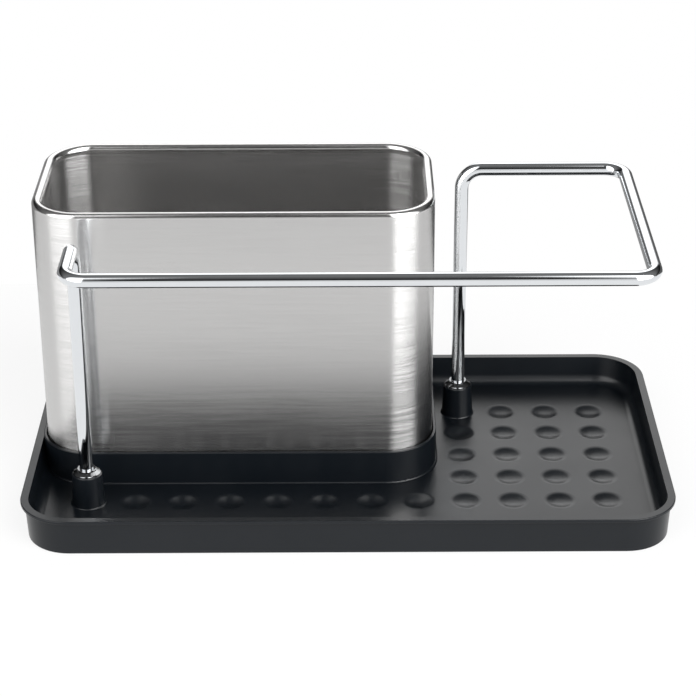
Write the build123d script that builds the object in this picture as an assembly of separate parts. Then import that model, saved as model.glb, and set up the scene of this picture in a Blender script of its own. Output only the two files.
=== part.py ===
from build123d import *
import math
import os

# Kitchen sink caddy: a moulded tray with a lift-out steel cup, and a bent wire rail for a cloth.
# Sizes are in millimetres, drafts and turns in degrees. +X runs to the right, +Y to the back and +Z up.
# The origin is the middle of the footprint, on the surface that the feet stand on.

# Tray moulding
tray_length = 280.0
tray_width = 156.0
tray_height = 17.0
tray_corner_radius = 22.0
lip_width = 3.4
lip_thickness = 1.5
lip_overhang = 1.7
lip_edge_radius = 0.35
outer_draft = 3.0
inner_draft = 5.0
floor_lift = 1.2
floor_thickness = 2.8
floor_radius = 4.5
foot_rim_width = 3.0
bottom_edge_radius = 0.4

# Sunk dimples in the tray's floor, which lie on one square grid with the two rail sockets
grid_pitch = 20.6
dimple_diameter = 14.6
dimple_depth = 1.4
dimple_rim_radius = 6.0
dimple_margin = 3.0

# Raised surround that holds the cup's foot
surround_wall = 1.25
surround_height = 15.4
surround_top_radius = 0.4
cove_radius = 0.8
rest_rib_height = 1.5
rest_rib_width = 3.0
rest_rib_shares = (-0.32, 0.0, 0.32)
drain_notch_width = 12.0
drain_notch_height = 3.0
drain_notch_shares = (-0.25, 0.25)

# Cup, whose middle is set in from the tray's back edge by its setback
cup_length = 172.5
cup_width = 84.7
cup_height = 126.9
cup_corner_radius = 21.0
cup_sheet = 0.8
cup_bead_diameter = 4.5
cup_curl_turn = 240.0
cup_gap = 0.7
cup_setback = 56.95
base_lift = 2.5
base_flange_height = 5.0
base_bend_radius = 1.6
base_weld_gap = 0.05
drain_hole_diameter = 5.0
drain_hole_pitch = 24.0
drain_hole_columns = 5
drain_hole_rows = 3

# Wire rail and the sockets that it stands in
wire_diameter = 6.0
wire_bend_radius = 9.0
wire_least_straight = 0.5
rail_height = 127.1
rail_loop_length = 72.0
fit_clearance = 0.05
socket_side_gap = 11.7
socket_front_gap = 15.75
socket_top_diameter = 13.0
socket_foot_diameter = 14.4
socket_height = 15.0
socket_chamfer = 0.5
socket_web = 2.5
socket_web_lift = 3.5
socket_recess_diameter = 9.0
wire_end_gap = 0.5
collar_diameter = 12.0
collar_flange = 0.6
collar_dome_height = 0.8
collar_hub_diameter = 8.4
collar_hub_height = 0.8
collar_edge = 0.25

# Screws from below, with washers
screw_diameter = 3.0
screw_length = 12.0
screw_hole_diameter = 3.4
screw_head_diameter = 5.6
screw_head_height = 2.2
screw_head_radius = 0.6
screw_slot_width = 0.8
screw_slot_length = 3.2
screw_slot_depth = 1.2
thread_reserve = 1.0
washer_diameter = 8.0
washer_thickness = 0.6

# Rubber feet
foot_diameter = 12.0
foot_proud = 0.5
foot_pocket = 0.6
foot_edge_radius = 0.4
foot_inset_x = 22.0
foot_inset_y = 16.0

# One overrun serves every cut that runs past a face, and edges this close in height count as level
overrun = 2.0
same_height = 0.01

# Heights that follow from the sizes above
tray_bottom = foot_proud
lip_top = tray_bottom + tray_height
body_top = lip_top - lip_thickness
floor_under = tray_bottom + floor_lift
floor_top = floor_under + floor_thickness
surround_top = floor_top + surround_height
cup_bottom = floor_top + rest_rib_height
cup_top = cup_bottom + cup_height
socket_top = floor_top + socket_height
web_bottom = floor_top + socket_web_lift
web_top = web_bottom + socket_web
wire_end = web_top + wire_end_gap
washer_bottom = web_bottom - washer_thickness
screw_head_bottom = washer_bottom - screw_head_height

# Plan places that follow from the sizes above
surround_offset = cup_gap + surround_wall
surround_length = cup_length + 2 * surround_offset
surround_width = cup_width + 2 * surround_offset
wall_lean = (lip_top - floor_top) * math.tan(math.radians(inner_draft))
flat_half_length = tray_length / 2 - lip_width - wall_lean - floor_radius
flat_half_width = tray_width / 2 - lip_width - wall_lean - floor_radius
cup_x = lip_width + (surround_length - tray_length) / 2
cup_y = tray_width / 2 - cup_setback

# The grid of sockets and dimples: the right socket stands beside the surround and the left one in front
# of it, each on the last grid point that keeps its margin to the tray's wall
socket_reach = socket_foot_diameter / 2 + dimple_margin
right_socket_x = cup_x + surround_length / 2 + socket_side_gap
left_socket_y = cup_y - surround_width / 2 - socket_front_gap
columns_between = int((right_socket_x + flat_half_length - socket_reach) // grid_pitch)
rows_between = int((flat_half_width - left_socket_y - socket_reach) // grid_pitch)
left_socket_place = (right_socket_x - columns_between * grid_pitch, left_socket_y)
right_socket_place = (right_socket_x, left_socket_y + rows_between * grid_pitch)

# Plan places of the rail's bars
rail_front = (wire_diameter - tray_width) / 2
rail_right = right_socket_x + rail_loop_length


def rounded_plate(length, width, radius, bottom, top, draft=0.0):
    """A rounded rectangle that stands from bottom to top and shrinks downwards by the draft."""
    outline = Pos(0, 0, top) * RectangleRounded(length, width, radius)
    return extrude(outline, top - bottom, dir=(0, 0, -1), taper=draft)


def upright_cylinder(diameter, bottom, top):
    """A cylinder on the Z axis from bottom to top."""
    height = top - bottom
    return Pos(0, 0, bottom + height / 2) * Cylinder(diameter / 2, height)


def edges_at(solid, height):
    """The solid's edges that lie flat at one height."""
    def lies_flat(edge):
        box = edge.bounding_box()
        return max(abs(box.min.Z - height), abs(box.max.Z - height)) < same_height
    return solid.edges().filter_by(lies_flat)


def turned(points_and_arcs):
    """A turned piece: the closed outline in the XZ plane is revolved about Z."""
    return revolve(make_face(points_and_arcs), Axis.Z)


def carry_round(section, length, width, radius):
    """A ring: the section, with x inwards and y up, is carried round a rounded rectangle."""
    ring = Part()
    for turn in range(4):
        along, across = (length, width) if turn % 2 == 0 else (width, length)
        run = along - 2 * radius
        start = Plane(origin=(-run / 2, -across / 2, 0), x_dir=(0, 1, 0), z_dir=(1, 0, 0))
        finish = Plane(origin=(run / 2, -across / 2, 0), x_dir=(0, 1, 0), z_dir=(1, 0, 0))
        side = extrude(start * section, run)
        corner_axis = Axis((run / 2, radius - across / 2, 0), (0, 0, 1))
        corner = revolve(finish * section, corner_axis, 90)
        ring += Rot(0, 0, 90 * turn) * (side + corner)
    return ring


def tray_shell():
    """The open tray: lip, drafted walls, floor and the shallow recess under the floor."""
    lip = rounded_plate(tray_length, tray_width, tray_corner_radius, body_top, lip_top)
    lip = fillet(edges_at(lip, lip_top) + edges_at(lip, body_top), lip_edge_radius)
    body_length = tray_length - 2 * lip_overhang
    body_width = tray_width - 2 * lip_overhang
    body_radius = tray_corner_radius - lip_overhang
    body = rounded_plate(
        body_length, body_width, body_radius, tray_bottom, body_top + lip_thickness / 2, outer_draft)
    body = fillet(edges_at(body, tray_bottom), bottom_edge_radius)
    cavity_radius = tray_corner_radius - lip_width
    cavity = rounded_plate(
        tray_length - 2 * lip_width, tray_width - 2 * lip_width, cavity_radius, floor_top, lip_top,
        inner_draft)
    cavity = fillet(edges_at(cavity, floor_top), floor_radius)
    under_inset = lip_width + foot_rim_width
    recess = rounded_plate(
        tray_length - 2 * under_inset, tray_width - 2 * under_inset, tray_corner_radius - under_inset,
        tray_bottom - overrun, floor_under)
    return lip + body - cavity - recess


def surround():
    """The raised wall round the cup's foot, its cove at the floor, the rest ribs and the drain notches."""
    radius = cup_corner_radius + surround_offset
    block = rounded_plate(surround_length, surround_width, radius, floor_under, surround_top)
    block = fillet(edges_at(block, surround_top), surround_top_radius)
    well = rounded_plate(
        cup_length + 2 * cup_gap, cup_width + 2 * cup_gap, cup_corner_radius + cup_gap,
        floor_top, surround_top + overrun)
    cove_face = make_face([
        Line((0, 0), (-cove_radius, 0)),
        RadiusArc((-cove_radius, 0), (0, cove_radius), cove_radius),
        Line((0, cove_radius), (0, 0)),
    ])
    cove = Pos(0, 0, floor_top) * carry_round(cove_face, surround_length, surround_width, radius)
    wall = block - well + cove
    for share in drain_notch_shares:
        notch = Box(drain_notch_width, 2 * (surround_offset + cove_radius), drain_notch_height)
        wall -= Pos(share * surround_length, surround_width / 2, floor_top + drain_notch_height / 2) * notch
    for share in rest_rib_shares:
        rib_length = cup_width + 2 * cup_gap + surround_wall
        rib = Box(rest_rib_width, rib_length, rest_rib_height)
        wall += Pos(share * surround_length, 0, floor_top + rest_rib_height / 2) * rib
    return Pos(cup_x, cup_y, 0) * wall


def socket_outside():
    """One rail socket's outside: a drafted boss with a cove at its foot and a broken top edge."""
    top_radius = socket_top_diameter / 2
    foot_radius = socket_foot_diameter / 2
    cove_edge = foot_radius + cove_radius
    cove_top = floor_top + cove_radius
    outline = [
        Line((0, floor_under), (cove_edge, floor_under)),
        Line((cove_edge, floor_under), (cove_edge, floor_top)),
        RadiusArc((cove_edge, floor_top), (foot_radius, cove_top), cove_radius),
        Line((foot_radius, cove_top), (top_radius, socket_top - socket_chamfer)),
        Line((top_radius, socket_top - socket_chamfer), (top_radius - socket_chamfer, socket_top)),
        Line((top_radius - socket_chamfer, socket_top), (0, socket_top)),
        Line((0, socket_top), (0, floor_under)),
    ]
    return turned(outline_in_xz(outline))


def outline_in_xz(edges):
    """Stand a flat outline up, so that its x stays X and its y becomes Z."""
    return [Plane.XZ * edge for edge in edges]


def socket_inside():
    """What is taken out of one socket: the wire's bore, the screw's hole and the recess for its head."""
    bore = upright_cylinder(wire_diameter + 2 * fit_clearance, web_top, socket_top + overrun)
    hole = upright_cylinder(screw_hole_diameter, floor_under - overrun, socket_top)
    recess = upright_cylinder(socket_recess_diameter, floor_under - overrun, web_bottom)
    return bore + hole + recess


def dimple():
    """One sunk dimple: a shallow bowl whose rim rolls gently into the floor."""
    radius = dimple_diameter / 2
    slope = 2 * math.atan(dimple_depth / radius)
    both_radii = radius / math.sin(slope)
    bowl_radius = both_radii - dimple_rim_radius
    turn_x = bowl_radius * math.sin(slope)
    turn_z = bowl_radius * (1 - math.cos(slope)) - dimple_depth
    outline = [
        RadiusArc((0, -dimple_depth), (turn_x, turn_z), -bowl_radius),
        RadiusArc((turn_x, turn_z), (radius, 0), dimple_rim_radius),
        Line((radius, 0), (0, 0)),
        Line((0, 0), (0, -dimple_depth)),
    ]
    return turned(outline_in_xz(outline))


def takes_dimple(x, y):
    """Whether a dimple here keeps its margin to the tray's wall and to the surround."""
    reach = dimple_diameter / 2 + dimple_margin
    on_flat_floor = abs(x) + reach <= flat_half_length and abs(y) + reach <= flat_half_width
    beside = abs(x - cup_x) >= surround_length / 2 + reach
    in_front = abs(y - cup_y) >= surround_width / 2 + reach
    return on_flat_floor and (beside or in_front)


def dimple_places():
    """Every grid point that takes a dimple: those with room for it, but for the two sockets' points."""
    columns = range(-int(tray_length // grid_pitch), int(tray_length // grid_pitch) + 1)
    rows = range(-int(tray_width // grid_pitch), int(tray_width // grid_pitch) + 1)
    taken = [(0, 0), (columns_between, rows_between)]
    places = []
    for column, row in [(column, row) for row in rows for column in columns if (column, row) not in taken]:
        x = left_socket_place[0] + column * grid_pitch
        y = left_socket_y + row * grid_pitch
        if takes_dimple(x, y):
            places.append((x, y))
    return places


def foot_places():
    """The four feet's places by name."""
    x = tray_length / 2 - foot_inset_x
    y = tray_width / 2 - foot_inset_y
    return {
        "foot_front_left": (-x, -y),
        "foot_front_right": (x, -y),
        "foot_back_left": (-x, y),
        "foot_back_right": (x, y),
    }


def make_tray():
    """The whole tray moulding."""
    tray = tray_shell() + surround()
    for x, y in (left_socket_place, right_socket_place):
        tray += Pos(x, y, 0) * socket_outside()
    for x, y in (left_socket_place, right_socket_place):
        tray -= Pos(x, y, 0) * socket_inside()
    bowl = dimple()
    for x, y in dimple_places():
        tray -= Pos(x, y, floor_top) * bowl
    pocket = upright_cylinder(foot_diameter, tray_bottom, floor_under + foot_pocket)
    for x, y in foot_places().values():
        tray -= Pos(x, y, 0) * pocket
    return tray


def make_cup_shell():
    """The cup's wall of sheet steel, with its top edge curled inwards to a hollow bead."""
    bead_radius = cup_bead_diameter / 2
    bead_z = cup_top - bead_radius
    curl_radius = bead_radius - cup_sheet
    outer = CenterArc((bead_radius, bead_z), bead_radius, 180 - cup_curl_turn, cup_curl_turn)
    inner = CenterArc((bead_radius, bead_z), curl_radius, 180 - cup_curl_turn, cup_curl_turn)
    section = make_face([
        outer,
        Line(outer @ 1, (0, cup_bottom)),
        Line((0, cup_bottom), (cup_sheet, cup_bottom)),
        Line((cup_sheet, cup_bottom), inner @ 1),
        inner,
        Line(inner @ 0, outer @ 0),
    ])
    return Pos(cup_x, cup_y, 0) * carry_round(section, cup_length, cup_width, cup_corner_radius)


def make_cup_base():
    """The cup's bottom: a dished plate with drain holes and an upturned edge, welded inside the wall."""
    inset = cup_sheet + base_weld_gap
    length = cup_length - 2 * inset
    width = cup_width - 2 * inset
    radius = cup_corner_radius - inset
    bottom = cup_bottom + base_lift
    dish = rounded_plate(length, width, radius, bottom, bottom + base_flange_height)
    dish = fillet(edges_at(dish, bottom), base_bend_radius)
    hollow = rounded_plate(
        length - 2 * cup_sheet, width - 2 * cup_sheet, radius - cup_sheet,
        bottom + cup_sheet, bottom + base_flange_height)
    hollow = fillet(edges_at(hollow, bottom + cup_sheet), base_bend_radius - cup_sheet)
    plate = dish - hollow
    hole = upright_cylinder(drain_hole_diameter, bottom - overrun, bottom + base_flange_height)
    for place in GridLocations(drain_hole_pitch, drain_hole_pitch, drain_hole_columns, drain_hole_rows):
        plate -= place * hole
    return Pos(cup_x, cup_y, 0) * plate


def make_rail():
    """The rail: one round wire with equal bends as wide as the front turn takes, tapped for the screws."""
    left_x, left_y = left_socket_place
    right_x, right_y = right_socket_place
    corners = [
        (left_x, left_y, wire_end),
        (left_x, left_y, rail_height),
        (left_x, rail_front, rail_height),
        (rail_right, rail_front, rail_height),
        (rail_right, right_y, rail_height),
        (right_x, right_y, rail_height),
        (right_x, right_y, wire_end),
    ]
    bend_radius = min(wire_bend_radius, (left_y - rail_front - wire_least_straight) / 2)
    path = FilletPolyline(*corners, radius=bend_radius)
    wire = sweep(Pos(left_x, left_y, wire_end) * Circle(wire_diameter / 2), path=path)
    thread_top = washer_bottom + screw_length + thread_reserve
    thread = upright_cylinder(screw_diameter, wire_end - overrun, thread_top)
    for x, y in (left_socket_place, right_socket_place):
        wire -= Pos(x, y, 0) * thread
    return wire


def make_collar(place):
    """A turned collar on the wire: a flange that seats on the socket, domed up to a low hub."""
    bore = wire_diameter / 2 + fit_clearance
    flange = collar_diameter / 2
    hub = collar_hub_diameter / 2
    flange_top = socket_top + collar_flange
    dome_top = flange_top + collar_dome_height
    hub_top = dome_top + collar_hub_height
    corners = [
        (bore, socket_top),
        (flange, socket_top),
        (flange, flange_top - collar_edge),
        (flange - collar_edge, flange_top),
        (hub, dome_top),
        (hub, hub_top - collar_edge),
        (hub - collar_edge, hub_top),
        (bore, hub_top),
    ]
    outline = Polyline(*corners, close=True)
    return Pos(place[0], place[1], 0) * turned(outline_in_xz([outline]))


def make_screws():
    """Two pan-head screws with a cross recess, driven up through the sockets' webs into the wire."""
    shank = upright_cylinder(screw_diameter - 2 * fit_clearance, washer_bottom, washer_bottom + screw_length)
    head = upright_cylinder(screw_head_diameter, screw_head_bottom, washer_bottom)
    head = fillet(edges_at(head, screw_head_bottom), screw_head_radius)
    slot_place = Pos(0, 0, screw_head_bottom + screw_slot_depth / 2)
    slot = slot_place * Box(screw_slot_length, screw_slot_width, screw_slot_depth)
    screw = shank + head - slot - Rot(0, 0, 90) * slot
    return [Pos(x, y, 0) * screw for x, y in (left_socket_place, right_socket_place)]


def make_washers():
    """Two plain washers between the screw heads and the sockets' webs."""
    ring = upright_cylinder(washer_diameter, washer_bottom, web_bottom)
    ring -= upright_cylinder(screw_hole_diameter, washer_bottom - overrun, web_bottom + overrun)
    return [Pos(x, y, 0) * ring for x, y in (left_socket_place, right_socket_place)]


def make_foot(place):
    """One rubber foot: a disc that sits in its pocket and stands proud of the tray."""
    underside = tray_bottom - foot_proud
    disc = upright_cylinder(foot_diameter - 2 * fit_clearance, underside, floor_under + foot_pocket)
    disc = fillet(edges_at(disc, underside), foot_edge_radius)
    return Pos(place[0], place[1], 0) * disc


def write_part(name, shape):
    """Write one named piece, or a group of like pieces, to its own file."""
    pieces = shape if isinstance(shape, list) else [shape]
    solids = [solid for piece in pieces for solid in piece.solids()]
    export_step(Compound(children=solids), f"parts/{name}.step")


def main():
    """Make every piece of the caddy and write it."""
    os.makedirs("parts", exist_ok=True)
    pieces = {
        "tray": make_tray(),
        "cup_shell": make_cup_shell(),
        "cup_base": make_cup_base(),
        "rail": make_rail(),
        "rail_collar_left": make_collar(left_socket_place),
        "rail_collar_right": make_collar(right_socket_place),
        "rail_screws": make_screws(),
        "rail_washers": make_washers(),
    }
    for name, place in foot_places().items():
        pieces[name] = make_foot(place)
    for name, shape in pieces.items():
        write_part(name, shape)


main()
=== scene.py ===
"""Looks of a kitchen sink caddy: a satin black tray, a brushed steel cup and a chromed wire rail.

Lengths are in metres, with +X to the right, +Y to the back and +Z up, and the feet stand on z = 0.
"""

import logging
import math
from collections.abc import Sequence
from dataclasses import dataclass, field
from enum import Enum
from functools import partial, reduce

import bpy
from mathutils import Matrix, Vector


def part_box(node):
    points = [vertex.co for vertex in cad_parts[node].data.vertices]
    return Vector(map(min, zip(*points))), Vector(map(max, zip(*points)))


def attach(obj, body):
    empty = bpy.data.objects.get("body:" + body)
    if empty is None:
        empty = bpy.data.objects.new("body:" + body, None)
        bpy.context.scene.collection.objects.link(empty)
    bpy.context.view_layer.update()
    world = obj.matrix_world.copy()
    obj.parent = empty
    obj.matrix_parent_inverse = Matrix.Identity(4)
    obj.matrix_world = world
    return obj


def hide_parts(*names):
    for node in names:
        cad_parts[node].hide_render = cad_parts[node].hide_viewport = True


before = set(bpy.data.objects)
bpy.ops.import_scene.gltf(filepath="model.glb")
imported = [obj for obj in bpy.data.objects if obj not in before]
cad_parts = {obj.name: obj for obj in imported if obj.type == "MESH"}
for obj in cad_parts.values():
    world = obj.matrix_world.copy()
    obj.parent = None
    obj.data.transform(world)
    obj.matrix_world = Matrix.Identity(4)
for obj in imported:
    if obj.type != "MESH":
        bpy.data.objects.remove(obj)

LOG = logging.getLogger("sink_caddy")
MM = 0.001
HALF_TURN = 180.0
QUARTER_TURN = 90.0

Point = tuple[float, float]
Colour = tuple[float, float, float]

# Most of a noise pattern's values lie in this band
MIDDLE_BAND: Point = (0.3, 0.7)


class Grain(Enum):
    """Which way a brushed finish runs: its long scratches lie along the named direction."""

    LEVEL = "level, round the upright walls"
    LENGTHWISE = "along X"


class ShaderSheet:
    """A short way to lay out one material's nodes."""

    def __init__(self, name: str) -> None:
        """Start an empty material.

        Args:
            name: The material's name.
        """
        self.material = bpy.data.materials.new(name)
        self.material.use_nodes = True
        self.tree = self.material.node_tree
        self.tree.nodes.clear()
        self.output = self.tree.nodes.new("ShaderNodeOutputMaterial")
        self.surface = self.tree.nodes.new("ShaderNodeBsdfPrincipled")
        self.link(self.surface.outputs["BSDF"], self.output.inputs["Surface"])

    def link(self, source: bpy.types.NodeSocket, target: bpy.types.NodeSocket) -> None:
        """Join an output to an input."""
        self.tree.links.new(source, target)

    def constants(self, **values: float | Colour) -> None:
        """Set plain values on the surface's own sockets.

        Args:
            values: Socket names in lower case with underscores, and their values.
        """
        for key, value in values.items():
            socket = self.surface.inputs[key.replace("_", " ").title().replace("Ior", "IOR")]
            socket.default_value = (*value, 1.0) if isinstance(value, tuple) else value

    def stretched_place(self, stretch: Sequence[float]) -> bpy.types.NodeSocket:
        """Read the piece's own coordinates, scaled on each axis.

        Args:
            stretch: How many pattern units one metre holds along X, Y and Z.

        Returns:
            The scaled coordinates.
        """
        place = self.tree.nodes.new("ShaderNodeTexCoord")
        mapping = self.tree.nodes.new("ShaderNodeMapping")
        mapping.inputs["Scale"].default_value = tuple(stretch)
        self.link(place.outputs["Object"], mapping.inputs["Vector"])
        return mapping.outputs["Vector"]

    def noise(self, stretch: Sequence[float], octaves: Point) -> bpy.types.NodeSocket:
        """Add a noise pattern.

        Args:
            stretch: How many pattern units one metre holds along X, Y and Z.
            octaves: How many finer octaves it holds, and how strong they are.

        Returns:
            The noise, about 0.5 on average.
        """
        node = self.tree.nodes.new("ShaderNodeTexNoise")
        node.inputs["Scale"].default_value = 1.0
        node.inputs["Detail"].default_value = octaves[0]
        node.inputs["Roughness"].default_value = octaves[1]
        self.link(self.stretched_place(stretch), node.inputs["Vector"])
        return node.outputs["Fac"]

    def spread(self, value: bpy.types.NodeSocket, source: Point, target: Point) -> bpy.types.NodeSocket:
        """Map a value from one range to another, held at the ends.

        Args:
            value: What is mapped.
            source: The range that it comes in.
            target: The range that it leaves in.

        Returns:
            The mapped value.
        """
        node = self.tree.nodes.new("ShaderNodeMapRange")
        for key, number in zip(("From Min", "From Max", "To Min", "To Max"), (*source, *target)):
            node.inputs[key].default_value = number
        self.link(value, node.inputs["Value"])
        return node.outputs["Result"]

    def blend_colours(
            self, share: bpy.types.NodeSocket, first: Colour, second: Colour) -> bpy.types.NodeSocket:
        """Mix two colours by a share.

        Args:
            share: 0 for the first colour and 1 for the second.
            first: The first colour.
            second: The second colour.

        Returns:
            The mixed colour.
        """
        node = self.tree.nodes.new("ShaderNodeMix")
        node.data_type = "RGBA"
        node.inputs["A"].default_value = (*first, 1.0)
        node.inputs["B"].default_value = (*second, 1.0)
        self.link(share, node.inputs["Factor"])
        return node.outputs["Result"]

    def sum_of(self, first: bpy.types.NodeSocket, second: bpy.types.NodeSocket) -> bpy.types.NodeSocket:
        """Add two values.

        Args:
            first: The first value.
            second: The second value.

        Returns:
            Their sum.
        """
        node = self.tree.nodes.new("ShaderNodeMath")
        node.operation = "ADD"
        self.link(first, node.inputs[0])
        self.link(second, node.inputs[1])
        return node.outputs["Value"]

    def relief(self, height: bpy.types.NodeSocket, depth: float, strength: float) -> None:
        """Give the surface a fine relief.

        Args:
            height: The pattern, 0 for low and 1 for high.
            depth: How deep the relief is, in metres.
            strength: How strongly it shows.
        """
        node = self.tree.nodes.new("ShaderNodeBump")
        node.inputs["Strength"].default_value = strength
        node.inputs["Distance"].default_value = depth
        self.link(height, node.inputs["Height"])
        self.link(node.outputs["Normal"], self.surface.inputs["Normal"])


@dataclass(frozen=True)
class BrushedSteel:
    """Stainless steel sheet with a long brushed grain."""

    grain: Grain
    light: Colour = (0.65, 0.645, 0.64)
    dark: Colour = (0.59, 0.585, 0.58)
    roughness: float = 0.243
    roughness_swing: float = 0.022
    anisotropy: float = 1.0
    grain_turn: float = 0.25
    along_grain: float = 85.0
    across_grain: float = 4600.0
    fine_octaves: Point = (3.0, 0.6)
    fine_band: Point = (0.25, 0.75)
    fine_weight: float = 0.5
    broad_share: float = 0.33
    broad_octaves: Point = (2.0, 0.5)

    def stretch(self, finer: float) -> tuple[float, float, float]:
        """Work out the pattern's scale on each axis, finer by a factor across the grain."""
        long, short = self.along_grain * finer, self.across_grain * finer
        return (long, long, short) if self.grain is Grain.LEVEL else (long, short, short)

    def make(self, name: str) -> bpy.types.Material:
        """Lay out the material.

        Args:
            name: The material's name.

        Returns:
            The finished material.
        """
        sheet = ShaderSheet(name)
        fine = sheet.noise(self.stretch(1.0), self.fine_octaves)
        broad = sheet.noise(self.stretch(self.broad_share), self.broad_octaves)
        both = sheet.sum_of(
            sheet.spread(fine, self.fine_band, (0.0, self.fine_weight)),
            sheet.spread(broad, MIDDLE_BAND, (0.0, 1.0 - self.fine_weight)))
        sheet.link(sheet.blend_colours(both, self.dark, self.light), sheet.surface.inputs["Base Color"])
        low, high = self.roughness - self.roughness_swing, self.roughness + self.roughness_swing
        sheet.link(sheet.spread(both, MIDDLE_BAND, (low, high)), sheet.surface.inputs["Roughness"])
        sheet.constants(metallic=1.0, anisotropic=self.anisotropy, anisotropic_rotation=self.grain_turn)
        return sheet.material


@dataclass(frozen=True)
class ChromePlate:
    """Bright chrome plate on steel, with the faint haze of handling."""

    light: Colour = (0.76, 0.78, 0.80)
    dark: Colour = (0.71, 0.73, 0.75)
    roughness: Point = (0.03, 0.06)
    haze_scale: float = 90.0
    haze_octaves: Point = (3.0, 0.55)
    haze_band: Point = (0.35, 0.7)
    pit_scale: float = 900.0
    pit_octaves: Point = (1.0, 0.5)
    pit_depth: float = 0.004 * MM
    pit_strength: float = 0.4

    def make(self, name: str) -> bpy.types.Material:
        """Lay out the material.

        Args:
            name: The material's name.

        Returns:
            The finished material.
        """
        sheet = ShaderSheet(name)
        haze = sheet.noise([self.haze_scale] * 3, self.haze_octaves)
        pits = sheet.noise([self.pit_scale] * 3, self.pit_octaves)
        sheet.link(sheet.blend_colours(haze, self.dark, self.light), sheet.surface.inputs["Base Color"])
        sheet.link(sheet.spread(haze, self.haze_band, self.roughness), sheet.surface.inputs["Roughness"])
        sheet.relief(pits, self.pit_depth, self.pit_strength)
        sheet.constants(metallic=1.0)
        return sheet.material


@dataclass(frozen=True)
class SatinPlastic:
    """Black injection-moulded plastic with a fine even texture and a satin gloss."""

    body: Colour = (0.0018, 0.0029, 0.0044)
    rubbed: Colour = (0.0028, 0.004, 0.0056)
    roughness: Point = (0.28, 0.34)
    ior: float = 1.39
    texture_scale: float = 3800.0
    texture_octaves: Point = (2.0, 0.5)
    texture_depth: float = 0.008 * MM
    texture_strength: float = 0.5
    flow_scale: float = 34.0
    flow_octaves: Point = (4.0, 0.6)

    def make(self, name: str) -> bpy.types.Material:
        """Lay out the material.

        Args:
            name: The material's name.

        Returns:
            The finished material.
        """
        sheet = ShaderSheet(name)
        texture = sheet.noise([self.texture_scale] * 3, self.texture_octaves)
        flow = sheet.noise([self.flow_scale] * 3, self.flow_octaves)
        sheet.link(sheet.blend_colours(flow, self.body, self.rubbed), sheet.surface.inputs["Base Color"])
        sheet.link(sheet.spread(flow, MIDDLE_BAND, self.roughness), sheet.surface.inputs["Roughness"])
        sheet.relief(texture, self.texture_depth, self.texture_strength)
        sheet.constants(ior=self.ior)
        return sheet.material


@dataclass(frozen=True)
class ZincPlate:
    """Bright zinc plate on screws and washers, slightly mottled."""

    light: Colour = (0.68, 0.69, 0.71)
    dark: Colour = (0.5, 0.51, 0.54)
    roughness: Point = (0.22, 0.42)
    mottle_scale: float = 1400.0
    mottle_octaves: Point = (4.0, 0.6)
    mottle_depth: float = 0.01 * MM
    mottle_strength: float = 0.5

    def make(self, name: str) -> bpy.types.Material:
        """Lay out the material.

        Args:
            name: The material's name.

        Returns:
            The finished material.
        """
        sheet = ShaderSheet(name)
        mottle = sheet.noise([self.mottle_scale] * 3, self.mottle_octaves)
        sheet.link(sheet.blend_colours(mottle, self.dark, self.light), sheet.surface.inputs["Base Color"])
        sheet.link(sheet.spread(mottle, MIDDLE_BAND, self.roughness), sheet.surface.inputs["Roughness"])
        sheet.relief(mottle, self.mottle_depth, self.mottle_strength)
        sheet.constants(metallic=1.0)
        return sheet.material


@dataclass(frozen=True)
class FootRubber:
    """Matt black rubber with a fine grain and a little dust."""

    clean: Colour = (0.018, 0.018, 0.019)
    dusty: Colour = (0.05, 0.049, 0.047)
    roughness: Point = (0.7, 0.92)
    grain_scale: float = 2600.0
    grain_octaves: Point = (3.0, 0.6)
    grain_depth: float = 0.03 * MM
    grain_strength: float = 0.6
    dust_scale: float = 325.0
    dust_octaves: Point = (4.0, 0.6)

    def make(self, name: str) -> bpy.types.Material:
        """Lay out the material.

        Args:
            name: The material's name.

        Returns:
            The finished material.
        """
        sheet = ShaderSheet(name)
        grain = sheet.noise([self.grain_scale] * 3, self.grain_octaves)
        dust = sheet.noise([self.dust_scale] * 3, self.dust_octaves)
        sheet.link(sheet.blend_colours(dust, self.clean, self.dusty), sheet.surface.inputs["Base Color"])
        sheet.link(sheet.spread(dust, MIDDLE_BAND, self.roughness), sheet.surface.inputs["Roughness"])
        sheet.relief(grain, self.grain_depth, self.grain_strength)
        return sheet.material


def link_to_scene(name: str, mesh: bpy.types.Mesh) -> bpy.types.Object:
    """Put a mesh in the scene as a new object at the origin.

    Args:
        name: The object's name.
        mesh: Its mesh.

    Returns:
        The new object.
    """
    piece = bpy.data.objects.new(name, mesh)
    bpy.context.scene.collection.objects.link(piece)
    return piece


def wire_mesh(name: str, points: Sequence[Sequence[float]], closed: bool) -> bpy.types.Mesh:
    """Make a mesh of edges only, through the points in their order.

    Args:
        name: The mesh's name.
        points: The points, flat or in space.
        closed: Whether the last point joins the first.

    Returns:
        The mesh.
    """
    corners = [(*point, 0.0) if len(point) == 2 else tuple(point) for point in points]
    edges = [(index, index + 1) for index in range(len(corners) - 1)]
    if closed:
        edges.append((len(corners) - 1, 0))
    mesh = bpy.data.meshes.new(name)
    mesh.from_pydata(corners, edges, [])
    return mesh


def arc(centre: Point, radius: float, start: float, finish: float, steps: int) -> list[Point]:
    """Work out points along a flat arc.

    Args:
        centre: The arc's centre.
        radius: Its radius.
        start: Its first angle, in degrees.
        finish: Its last angle, in degrees.
        steps: How many equal steps it is cut into.

    Returns:
        The points, both ends included.
    """
    angles = [math.radians(start + (finish - start) * step / steps) for step in range(steps + 1)]
    return [(centre[0] + radius * math.cos(a), centre[1] + radius * math.sin(a)) for a in angles]


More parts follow.
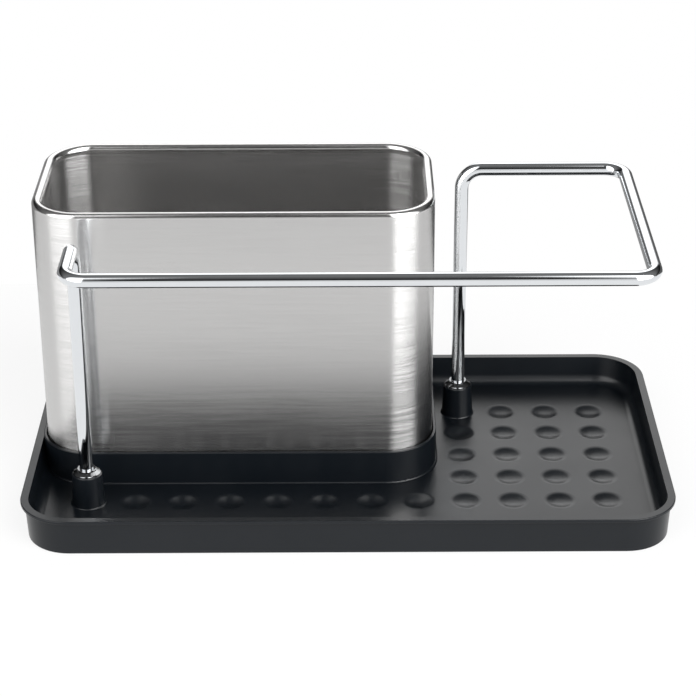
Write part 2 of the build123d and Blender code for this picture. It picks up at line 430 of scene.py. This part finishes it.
def rounded_loop(low: Vector, high: Vector, radius: float, steps: int) -> list[Point]:
    """Work out points round a rounded rectangle, clockwise from above.

    Args:
        low: Its lowest corner.
        high: Its highest corner.
        radius: The radius of its corners.
        steps: How many steps each corner is cut into.

    Returns:
        The points.
    """
    near, far = (low.x + radius, low.y + radius), (high.x - radius, high.y - radius)
    centres = [(far[0], near[1]), far, (near[0], far[1]), near]
    points: list[Point] = []
    for turn, centre in enumerate(centres):
        start = (turn - 1) * QUARTER_TURN
        points += arc(centre, radius, start, start + QUARTER_TURN, steps)
    return points[::-1]


class NodeTreeMaker:
    """A short way to lay out one geometry tree with named inputs."""

    def __init__(self, name: str) -> None:
        """Start a tree that takes and gives geometry.

        Args:
            name: The tree's name.
        """
        self.tree = bpy.data.node_groups.new(name, "GeometryNodeTree")
        self.tree.interface.new_socket("Geometry", in_out="OUTPUT", socket_type="NodeSocketGeometry")
        self.tree.interface.new_socket("Path", in_out="INPUT", socket_type="NodeSocketGeometry")
        self.entry = self.tree.nodes.new("NodeGroupInput")
        self.exit = self.tree.nodes.new("NodeGroupOutput")

    def ask(self, name: str, kind: str) -> None:
        """Add a named input of a socket kind, such as NodeSocketFloat."""
        self.tree.interface.new_socket(name, in_out="INPUT", socket_type=kind)

    def add(self, kind: str, **sources: bpy.types.NodeSocket) -> bpy.types.Node:
        """Add a node and join its inputs.

        Args:
            kind: The node's type.
            sources: Input names with underscores for spaces, and the outputs that feed them.

        Returns:
            The new node.
        """
        node = self.tree.nodes.new(kind)
        for key, source in sources.items():
            self.tree.links.new(source, node.inputs[key.replace("_", " ")])
        return node

    def close(self, geometry: bpy.types.NodeSocket) -> bpy.types.Node:
        """End the tree: smooth shading, real geometry and the asked material.

        Args:
            geometry: The geometry that the tree has made.

        Returns:
            The node that sets the material.
        """
        smooth = self.add("GeometryNodeSetShadeSmooth", Geometry=geometry)
        real = self.add("GeometryNodeRealizeInstances", Geometry=smooth.outputs[0])
        wanted = self.entry.outputs["Material"]
        dressed = self.add("GeometryNodeSetMaterial", Geometry=real.outputs[0], Material=wanted)
        self.tree.links.new(dressed.outputs[0], self.exit.inputs["Geometry"])
        return dressed

    def trim_above(
            self, dressed: bpy.types.Node, height: bpy.types.NodeSocket,
            material: bpy.types.NodeSocket) -> None:
        """Give all faces above a height a material of their own.

        Args:
            dressed: The node that sets the material of the whole.
            height: The height.
            material: The material above it.
        """
        place = self.add("GeometryNodeInputPosition")
        parts = self.add("ShaderNodeSeparateXYZ", Vector=place.outputs[0])
        above = self.add("ShaderNodeMath")
        above.operation = "GREATER_THAN"
        self.tree.links.new(parts.outputs["Z"], above.inputs[0])
        self.tree.links.new(height, above.inputs[1])
        trim = self.add(
            "GeometryNodeSetMaterial", Geometry=dressed.outputs[0], Selection=above.outputs[0],
            Material=material)
        self.tree.links.new(trim.outputs[0], self.exit.inputs["Geometry"])


def bent_wire_tree() -> bpy.types.GeometryNodeTree:
    """Make a tree that bends a round wire along the path's corners.

    Returns:
        The tree.
    """
    maker = NodeTreeMaker("bent_wire")
    maker.ask("Wire Radius", "NodeSocketFloat")
    maker.ask("Bend Radius", "NodeSocketFloat")
    maker.ask("Bend Steps", "NodeSocketInt")
    maker.ask("Round Steps", "NodeSocketInt")
    maker.ask("Material", "NodeSocketMaterial")
    wanted = maker.entry.outputs
    path = maker.add("GeometryNodeMeshToCurve", Mesh=wanted["Path"])
    bends = maker.add("GeometryNodeFilletCurve", Curve=path.outputs[0])
    bends.mode = "POLY"
    maker.tree.links.new(wanted["Bend Radius"], bends.inputs["Radius"])
    maker.tree.links.new(wanted["Bend Steps"], bends.inputs["Count"])
    section = maker.add("GeometryNodeCurvePrimitiveCircle", Resolution=wanted["Round Steps"])
    maker.tree.links.new(wanted["Wire Radius"], section.inputs["Radius"])
    wire = maker.add("GeometryNodeCurveToMesh", Curve=bends.outputs[0], Profile_Curve=section.outputs[0])
    wire.inputs["Fill Caps"].default_value = True
    maker.close(wire.outputs[0])
    return maker.tree


def carried_section_tree() -> bpy.types.GeometryNodeTree:
    """Make a tree that carries a section object's outline round a level closed path.

    Returns:
        The tree.
    """
    maker = NodeTreeMaker("carried_section")
    maker.ask("Section", "NodeSocketObject")
    maker.ask("Material", "NodeSocketMaterial")
    maker.ask("Trim Height", "NodeSocketFloat")
    maker.ask("Trim Material", "NodeSocketMaterial")
    wanted = maker.entry.outputs
    path = maker.add("GeometryNodeMeshToCurve", Mesh=wanted["Path"])
    level = maker.add("GeometryNodeSetCurveNormal", Curve=path.outputs[0])
    level.mode = "Z_UP"
    outline = maker.add("GeometryNodeObjectInfo", Object=wanted["Section"])
    section = maker.add("GeometryNodeMeshToCurve", Mesh=outline.outputs["Geometry"])
    ring = maker.add("GeometryNodeCurveToMesh", Curve=level.outputs[0], Profile_Curve=section.outputs[0])
    dressed = maker.close(ring.outputs[0])
    maker.trim_above(dressed, wanted["Trim Height"], wanted["Trim Material"])
    return maker.tree


def grow(
        name: str, path: bpy.types.Mesh, tree: bpy.types.GeometryNodeTree,
        **inputs: object) -> bpy.types.Object:
    """Run a geometry tree on a path and keep the result as a plain mesh.

    Args:
        name: The piece's name.
        path: The mesh that the tree starts from.
        tree: The geometry tree.
        inputs: Values for the tree's inputs, with underscores for spaces.

    Returns:
        The finished piece, with no modifier left on it.
    """
    piece = link_to_scene(name, path)
    modifier = piece.modifiers.new(tree.name, "NODES")
    modifier.node_group = tree
    asked = [item for item in tree.interface.items_tree if item.in_out == "INPUT"]
    identifiers = {item.name: item.identifier for item in asked}
    for key, value in inputs.items():
        modifier[identifiers[key.replace("_", " ")]] = value
    bpy.context.view_layer.update()
    mesh = bpy.data.meshes.new_from_object(piece.evaluated_get(bpy.context.evaluated_depsgraph_get()))
    piece.modifiers.clear()
    piece.data = mesh
    mesh.name = name
    return piece


def dress_node(node: str, material: bpy.types.Material) -> None:
    """Give a carried-over node its material in every slot.

    Args:
        node: The node's name.
        material: The material.
    """
    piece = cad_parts[node]
    for slot in range(len(piece.data.materials)):
        piece.data.materials[slot] = material


def report_piece(piece: bpy.types.Object) -> None:
    """Log a piece's name and how many faces it has."""
    LOG.info("%s: %d faces", piece.name, len(piece.data.polygons))


@dataclass
class Tray:
    """The moulded tray with its surround, sockets and dimples."""

    finish: SatinPlastic = field(default_factory=SatinPlastic)

    def build(self) -> list[bpy.types.Object]:
        """Dress the tray's node.

        Returns:
            The tray's pieces.
        """
        dress_node("tray", self.finish.make("satin_black_plastic"))
        return [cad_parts["tray"]]


@dataclass
class Cup:
    """The lift-out steel cup: a sheet wall with a curled rim, and its dished bottom."""

    sheet: float = 0.8 * MM
    bead_diameter: float = 4.5 * MM
    corner_radius: float = 21.0 * MM
    curl_turn: float = 240.0
    edge_radius: float = 0.3 * MM
    rim_roughness: float = 0.18
    rim_anisotropy: float = 0.9
    bottom_anisotropy: float = 0.0
    corner_steps: int = 40
    bead_steps: int = 28
    edge_steps: int = 4

    def section(self, bottom: float, top: float) -> list[Point]:
        """Work out the wall's section, with x inwards from the outer face and y downwards.

        Args:
            bottom: The height of the wall's lower edge.
            top: The height of the rim's top.

        Returns:
            The closed outline.
        """
        bead = self.bead_diameter / 2
        centre = (bead, top - bead)
        end = HALF_TURN - self.curl_turn
        edge = self.edge_radius
        down = HALF_TURN + QUARTER_TURN
        outline = arc(centre, bead, end, HALF_TURN, self.bead_steps)
        outline += arc((edge, bottom + edge), edge, HALF_TURN, down, self.edge_steps)
        outline += arc((self.sheet - edge, bottom + edge), edge, down, down + QUARTER_TURN, self.edge_steps)
        outline += arc(centre, bead - self.sheet, HALF_TURN, end, self.bead_steps)
        return [(across, -height) for across, height in outline]

    def wall(self) -> bpy.types.Object:
        """Make the wall and its rim from the section, carried round the cup's plan.

        Returns:
            The wall with its rim.
        """
        low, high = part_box("cup_shell")
        path = rounded_loop(low, high, self.corner_radius, self.corner_steps)
        outline = wire_mesh("cup_section", self.section(low.z, high.z), True)
        section = link_to_scene("cup_section", outline)
        steel = BrushedSteel(Grain.LEVEL).make("steel_level_grain")
        rim = BrushedSteel(Grain.LEVEL, roughness=self.rim_roughness, anisotropy=self.rim_anisotropy)
        polished = rim.make("steel_polished_rim")
        piece = grow(
            "cup_wall", wire_mesh("cup_path", path, True), carried_section_tree(), Section=section,
            Material=steel, Trim_Material=polished, Trim_Height=high.z - self.bead_diameter)
        bpy.data.objects.remove(section)
        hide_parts("cup_shell")
        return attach(piece, "cup")

    def build(self) -> list[bpy.types.Object]:
        """Make the wall and dress the bottom.

        Returns:
            The cup's pieces.
        """
        wall = self.wall()
        lengthwise = BrushedSteel(Grain.LENGTHWISE, anisotropy=self.bottom_anisotropy)
        dress_node("cup_base", lengthwise.make("steel_lengthwise_grain"))
        return [wall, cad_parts["cup_base"]]


@dataclass
class Rail:
    """The chromed wire rail with its two collars."""

    wire_radius: float = 3.0 * MM
    bend_radius: float = 9.0 * MM
    # The collars' chrome is painted far darker than the rail's: painted shade standing in for the dark
    # surroundings that the collars reflect.
    collar_painted_shade_light: Colour = (0.21, 0.215, 0.22)
    collar_painted_shade_dark: Colour = (0.16, 0.165, 0.17)
    bend_steps: int = 28
    round_steps: int = 56

    def path(self) -> list[Vector]:
        """Read the rail's corners off the frame's rail and collars.

        Returns:
            The corners, from the foot of the left leg to the foot of the right one.
        """
        low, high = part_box("rail")
        inset = Vector((self.wire_radius,) * 3)
        near, far = low + inset, high - inset
        left = sum(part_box("rail_collar_left"), Vector()) / 2
        right = sum(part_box("rail_collar_right"), Vector()) / 2
        return [
            Vector((left.x, left.y, low.z)),
            Vector((left.x, left.y, far.z)),
            Vector((left.x, near.y, far.z)),
            Vector((far.x, near.y, far.z)),
            Vector((far.x, right.y, far.z)),
            Vector((right.x, right.y, far.z)),
            Vector((right.x, right.y, low.z)),
        ]

    def build(self) -> list[bpy.types.Object]:
        """Bend the wire and dress the collars.

        Returns:
            The rail's pieces.
        """
        chrome = ChromePlate().make("chrome_plate")
        wire = grow(
            "rail_wire", wire_mesh("rail_path", self.path(), False), bent_wire_tree(), Material=chrome,
            Wire_Radius=self.wire_radius, Bend_Radius=self.bend_radius, Bend_Steps=self.bend_steps,
            Round_Steps=self.round_steps)
        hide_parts("rail")
        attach(wire, "base")
        collars = ["rail_collar_left", "rail_collar_right"]
        # Darkened chrome on the collars: painted shade for their dark reflections.
        painted_shade_chrome = ChromePlate(light=self.collar_painted_shade_light, dark=self.collar_painted_shade_dark).make("chrome_plate_painted_shade")
        for collar in collars:
            dress_node(collar, painted_shade_chrome)
        return [wire] + [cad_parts[collar] for collar in collars]


@dataclass
class Underside:
    """The fasteners and feet under the tray."""

    fasteners: Sequence[str] = ("rail_screws", "rail_washers")
    feet: Sequence[str] = ("foot_front_left", "foot_front_right", "foot_back_left", "foot_back_right")

    def build(self) -> list[bpy.types.Object]:
        """Dress the screws, washers and feet.

        Returns:
            The pieces under the tray.
        """
        zinc = ZincPlate().make("zinc_plate")
        rubber = FootRubber().make("foot_rubber")
        for node in self.fasteners:
            dress_node(node, zinc)
        for node in self.feet:
            dress_node(node, rubber)
        return [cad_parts[node] for node in (*self.fasteners, *self.feet)]


class SkySheet:
    """A short way to lay out the light of the surroundings as ramps over directions."""

    def __init__(self, name: str) -> None:
        """Start the surroundings and read the directions.

        Args:
            name: The name of the surroundings.
        """
        self.world = bpy.data.worlds.new(name)
        self.world.use_nodes = True
        self.tree = self.world.node_tree
        self.tree.nodes.clear()
        place = self.tree.nodes.new("ShaderNodeTexCoord")
        parts = self.tree.nodes.new("ShaderNodeSeparateXYZ")
        self.tree.links.new(place.outputs["Generated"], parts.inputs["Vector"])
        self.x, self.y, self.z = (parts.outputs[axis] for axis in "XYZ")

    def calc(self, operation: str, *values: bpy.types.NodeSocket | float) -> bpy.types.NodeSocket:
        """Add a math node.

        Args:
            operation: The node's operation.
            values: Its inputs, as outputs of other nodes or as numbers.

        Returns:
            The result.
        """
        node = self.tree.nodes.new("ShaderNodeMath")
        node.operation = operation
        for index, value in enumerate(values):
            if isinstance(value, (int, float)):
                node.inputs[index].default_value = value
            else:
                self.tree.links.new(value, node.inputs[index])
        return node.outputs["Value"]

    def product(self, *values: bpy.types.NodeSocket | float) -> bpy.types.NodeSocket:
        """Multiply several values."""
        return reduce(partial(self.calc, "MULTIPLY"), values)

    def largest(self, *values: bpy.types.NodeSocket | float) -> bpy.types.NodeSocket:
        """Take the largest of several values."""
        return reduce(partial(self.calc, "MAXIMUM"), values)

    def degrees(self, side: bpy.types.NodeSocket, base: bpy.types.NodeSocket) -> bpy.types.NodeSocket:
        """Work out an angle in degrees from its opposite and adjacent sides."""
        return self.calc("MULTIPLY", self.calc("ARCTAN2", side, base), math.degrees(1.0))

    def ramp(self, value: bpy.types.NodeSocket, band: Point) -> bpy.types.NodeSocket:
        """Pass smoothly from 0 to 1 over a band.

        Args:
            value: What is compared with the band.
            band: Where the result is 0 and where it is 1, in either order.

        Returns:
            The result, held at 0 and 1 outside the band.
        """
        node = self.tree.nodes.new("ShaderNodeMapRange")
        node.interpolation_type = "SMOOTHSTEP"
        rising = band[0] < band[1]
        node.inputs["From Min"].default_value = min(band)
        node.inputs["From Max"].default_value = max(band)
        node.inputs["To Min"].default_value = 0.0 if rising else 1.0
        node.inputs["To Max"].default_value = 1.0 if rising else 0.0
        self.tree.links.new(value, node.inputs["Value"])
        return node.outputs["Result"]

    def close(self, light: bpy.types.NodeSocket) -> bpy.types.World:
        """End the surroundings: plain white to the camera, and the light to all else.

        Args:
            light: How bright each direction is.

        Returns:
            The surroundings.
        """
        seen = self.tree.nodes.new("ShaderNodeLightPath").outputs["Is Camera Ray"]
        unseen = self.calc("SUBTRACT", 1.0, seen)
        shine = self.tree.nodes.new("ShaderNodeBackground")
        shine.inputs["Color"].default_value = (1.0, 1.0, 1.0, 1.0)
        output = self.tree.nodes.new("ShaderNodeOutputWorld")
        self.tree.links.new(self.calc("ADD", self.product(light, unseen), seen), shine.inputs["Strength"])
        self.tree.links.new(shine.outputs["Background"], output.inputs["Surface"])
        return self.world


@dataclass(frozen=True)
class PaleFloor:
    """White paper: even to the camera and in reflections, and shaded where it lies in shadow."""

    paint: Colour = (0.9, 0.9, 0.9)
    glow: float = 0.97
    glow_share: float = 0.88

    def make(self, name: str) -> bpy.types.Material:
        """Lay out the material.

        Args:
            name: The material's name.

        Returns:
            The finished material.
        """
        material = bpy.data.materials.new(name)
        material.use_nodes = True
        tree = material.node_tree
        tree.nodes.clear()
        paint = tree.nodes.new("ShaderNodeBsdfDiffuse")
        paint.inputs["Color"].default_value = (*self.paint, 1.0)
        glow = tree.nodes.new("ShaderNodeEmission")
        glow.inputs["Strength"].default_value = self.glow
        rays = tree.nodes.new("ShaderNodeLightPath")
        seen = rays.outputs["Is Camera Ray"]
        for kind in ("Is Glossy Ray", "Is Transmission Ray"):
            larger = tree.nodes.new("ShaderNodeMath")
            larger.operation = "MAXIMUM"
            tree.links.new(seen, larger.inputs[0])
            tree.links.new(rays.outputs[kind], larger.inputs[1])
            seen = larger.outputs["Value"]
        share = tree.nodes.new("ShaderNodeMath")
        share.operation = "MULTIPLY"
        share.inputs[1].default_value = self.glow_share
        tree.links.new(seen, share.inputs[0])
        mix = tree.nodes.new("ShaderNodeMixShader")
        tree.links.new(share.outputs["Value"], mix.inputs["Fac"])
        tree.links.new(paint.outputs["BSDF"], mix.inputs[1])
        tree.links.new(glow.outputs["Emission"], mix.inputs[2])
        output = tree.nodes.new("ShaderNodeOutputMaterial")
        tree.links.new(mix.outputs["Shader"], output.inputs["Surface"])
        return material


@dataclass(frozen=True)
class Surroundings:
    """The light round the caddy. Rises are above the horizon and turns from straight ahead, in degrees.

    A pale backdrop stands behind, a low table in front, and a tall softbox at each side of the front.
    Overhead the room is dark.
    """

    middle_edge: Point = (-0.01, 0.01)
    side_edge: Point = (-0.02, 0.02)
    least_depth: float = 0.001
    backdrop_glow: float = 2.2
    backdrop_foot: Point = (2.0, 16.0)
    backdrop_top: Point = (64.0, 42.0)
    backdrop_left: Point = (-22.0, -9.0)
    backdrop_right: Point = (30.0, 12.0)
    table_glow: float = 0.85
    table_top: Point = (17.0, 14.0)
    low_top: Point = (12.0, 8.0)
    low_left_glow: float = 0.3
    low_right_glow: float = 0.12
    left_box_glow: float = 4.4
    right_box_glow: float = 8.0
    box_foot: Point = (-5.0, 0.0)
    box_top: Point = (74.0, 60.0)
    box_near_side: Point = (7.0, 30.0)
    box_far_side: Point = (86.0, 62.0)
    room_glow: float = 0.01
    overhead_glow: float = 0.19
    overhead_rise: Point = (15.0, 90.0)

    def make(self, name: str) -> bpy.types.World:
        """Lay out the surroundings.

        Args:
            name: Their name.

        Returns:
            The finished surroundings.
        """
        sky = SkySheet(name)
        depth = sky.calc("ABSOLUTE", sky.y)
        rise = sky.degrees(sky.z, sky.calc("MAXIMUM", depth, self.least_depth))
        turn = sky.degrees(sky.x, depth)
        side = sky.calc("ABSOLUTE", turn)
        behind = sky.ramp(sky.y, self.middle_edge)
        ahead = sky.calc("SUBTRACT", 1.0, behind)
        on_right = sky.ramp(sky.x, self.side_edge)
        on_left = sky.ramp(sky.x, self.side_edge[::-1])
        backdrop = sky.product(
            sky.ramp(rise, self.backdrop_foot), sky.ramp(rise, self.backdrop_top),
            sky.ramp(turn, self.backdrop_left), sky.ramp(turn, self.backdrop_right),
            behind, self.backdrop_glow)
        table = sky.product(sky.ramp(rise, self.table_top), ahead, self.table_glow)
        low = sky.product(sky.ramp(rise, self.low_top), behind)
        low_left = sky.product(low, on_left, self.low_left_glow)
        low_right = sky.product(low, on_right, self.low_right_glow)
        box = sky.product(
            sky.ramp(rise, self.box_foot), sky.ramp(rise, self.box_top),
            sky.ramp(side, self.box_near_side), sky.ramp(side, self.box_far_side), ahead)
        left_box = sky.product(box, on_left, self.left_box_glow)
        right_box = sky.product(box, on_right, self.right_box_glow)
        overhead = sky.product(sky.ramp(rise, self.overhead_rise), self.overhead_glow)
        room = sky.calc("ADD", overhead, self.room_glow)
        boxes = sky.calc("ADD", left_box, right_box)
        return sky.close(sky.largest(backdrop, table, low_left, low_right, boxes, room))


@dataclass
class Studio:
    """The pale floor, the soft light and the camera."""

    camera_place: Vector = field(default_factory=lambda: Vector((0.0003, -0.858, 0.484)))
    camera_pitch: float = 26.31
    camera_roll: float = -0.25
    camera_reach: Point = (0.01, 50.0)
    focal_pixels: float = 2165.0
    picture_pixels: float = 696.0
    sensor: float = 36.0
    floor_low: Point = (-1.2, -2.5)
    floor_high: Point = (1.2, 0.2)
    floor_finish: PaleFloor = field(default_factory=PaleFloor)
    surroundings: Surroundings = field(default_factory=Surroundings)

    def make_camera(self) -> None:
        """Set up the camera at the viewing angle."""
        data = bpy.data.cameras.new("camera")
        data.sensor_width = self.sensor
        data.lens = self.focal_pixels / self.picture_pixels * self.sensor
        data.clip_start, data.clip_end = self.camera_reach
        camera = bpy.data.objects.new("camera", data)
        bpy.context.scene.collection.objects.link(camera)
        tilt = Matrix.Rotation(math.radians(QUARTER_TURN - self.camera_pitch), 4, "X")
        roll = Matrix.Rotation(math.radians(self.camera_roll), 4, "Z")
        camera.matrix_world = Matrix.Translation(self.camera_place) @ tilt @ roll
        bpy.context.scene.camera = camera

    def make_floor(self) -> None:
        """Lay the floor and give it its finish."""
        (left, front), (right, back) = self.floor_low, self.floor_high
        corners = [(left, front, 0), (right, front, 0), (right, back, 0), (left, back, 0)]
        mesh = bpy.data.meshes.new("floor")
        mesh.from_pydata(corners, [], [range(len(corners))])
        floor = link_to_scene("floor", mesh)
        mesh.materials.append(self.floor_finish.make("pale_floor"))

    def build(self) -> None:
        """Set the colour handling and make the whole studio."""
        bpy.context.scene.view_settings.view_transform = "Standard"
        self.make_camera()
        self.make_floor()
        bpy.context.scene.world = self.surroundings.make("studio")


def main() -> None:
    """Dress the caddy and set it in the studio."""
    logging.basicConfig(level=logging.INFO, format="%(name)s: %(message)s")
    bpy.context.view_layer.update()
    for part in (Tray(), Cup(), Rail(), Underside()):
        for piece in part.build():
            report_piece(piece)
    Studio().build()


if __name__ == "__main__":
    main()
